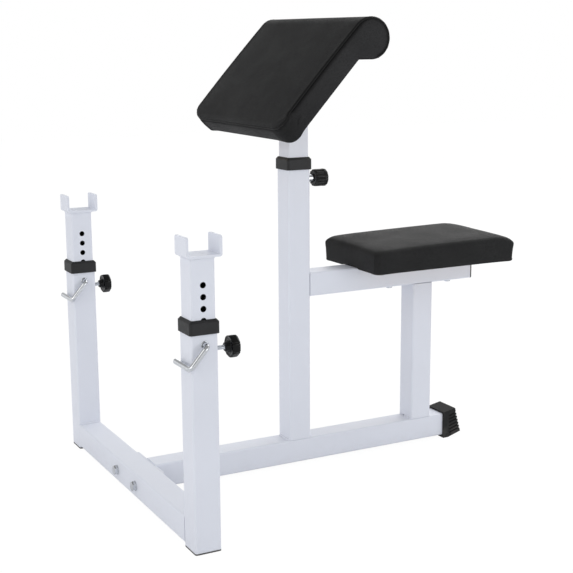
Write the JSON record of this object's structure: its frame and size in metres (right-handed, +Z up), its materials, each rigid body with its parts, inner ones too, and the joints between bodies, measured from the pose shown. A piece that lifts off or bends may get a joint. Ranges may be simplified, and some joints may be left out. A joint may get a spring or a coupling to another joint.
{
  "type": "preacher curl bench",
  "caption": "Free-standing preacher curl bench: square tube frame, telescoping barbell rack with U cradles, height-adjustable sloped arm pad with a roll, and a padded seat on a rail.",
  "frame": {"origin": "on the floor, under the middle of the bench's bounding box", "axes": "+Z up, +X from the barbell rack towards the seat, +Y across the bench to the sitter's right"},
  "size_m": [0.883, 0.7115, 0.9264],
  "materials": {
    "white_paint": "white powder coat, satin",
    "black_vinyl": "black vinyl with a fine grain",
    "black_plastic": "moulded, matt black",
    "black_rubber": "matt black",
    "zinc_steel": "bright zinc plate",
    "plywood": "raw plywood"
  },
  "bodies": {
    "frame": {"front_crossbar": "white_paint", "base_tube": "white_paint", "base_end_plate": "white_paint", "main_column": "white_paint", "seat_rail": "white_paint", "seat_post": "white_paint", "left_upright": "white_paint", "right_upright": "white_paint", "left_upright_plug": "black_plastic", "right_upright_plug": "black_plastic", "left_upright_collar": "black_plastic", "right_upright_collar": "black_plastic", "column_collar": "black_plastic", "seat_rail_plug": "black_plastic", "rear_foot_cap": "black_rubber", "crossbar_bolts": "zinc_steel", "crossbar_washers": "zinc_steel", "crossbar_nuts": "zinc_steel", "pop_pin_barrel": "zinc_steel", "pop_pin_spring": "zinc_steel", "seat_bolts": "zinc_steel", "seat_washers": "zinc_steel", "seat_tee_nuts": "zinc_steel", "seat_board": "plywood", "seat_pad": "black_vinyl"},
    "left_rack": {"left_rack_post": "white_paint", "left_bar_cradle": "white_paint"},
    "right_rack": {"right_rack_post": "white_paint", "right_bar_cradle": "white_paint"},
    "arm_rest": {"arm_pad_post": "white_paint", "arm_pad_plate": "white_paint", "arm_pad_board": "plywood", "arm_pad": "black_vinyl", "arm_pad_bolts": "zinc_steel", "arm_pad_washers": "zinc_steel", "arm_pad_tee_nuts": "zinc_steel"},
    "left_pin": {"left_lock_pin": "zinc_steel"},
    "right_pin": {"right_lock_pin": "zinc_steel"},
    "left_clamp": {"left_clamp_knob": "black_plastic", "left_clamp_stud": "zinc_steel"},
    "right_clamp": {"right_clamp_knob": "black_plastic", "right_clamp_stud": "zinc_steel"},
    "pop_pin": {"pop_pin_plunger": "zinc_steel", "pop_pin_knob": "black_plastic"}
  },
  "joints": [
    {"name": "left_rack_slide", "type": "slide", "parent": "frame", "child": "left_rack", "axis": [0, 0, 1], "range_m": [-0.1025, 0.082]},
    {"name": "left_pin_slide", "type": "slide", "parent": "frame", "child": "left_pin", "axis": [0, 1, 0], "range_m": [-0.02, 0.005]},
    {"name": "left_clamp_turn", "type": "hinge", "parent": "frame", "child": "left_clamp", "pos_m": [-0.38, -0.32, 0.362], "axis": [1, 0, 0], "range_deg": [-90, 360]},
    {"name": "right_rack_slide", "type": "slide", "parent": "frame", "child": "right_rack", "axis": [0, 0, 1], "range_m": [-0.1025, 0.082]},
    {"name": "right_pin_slide", "type": "slide", "parent": "frame", "child": "right_pin", "axis": [0, 1, 0], "range_m": [-0.02, 0.005]},
    {"name": "right_clamp_turn", "type": "hinge", "parent": "frame", "child": "right_clamp", "pos_m": [-0.38, 0.32, 0.362], "axis": [1, 0, 0], "range_deg": [-90, 360]},
    {"name": "arm_rest_slide", "type": "slide", "parent": "frame", "child": "arm_rest", "axis": [0, 0, 1], "range_m": [-0.05, 0.075]},
    {"name": "pop_pin_slide", "type": "slide", "parent": "frame", "child": "pop_pin", "axis": [1, 0, 0], "range_m": [-0.006, 0]}
  ]
}
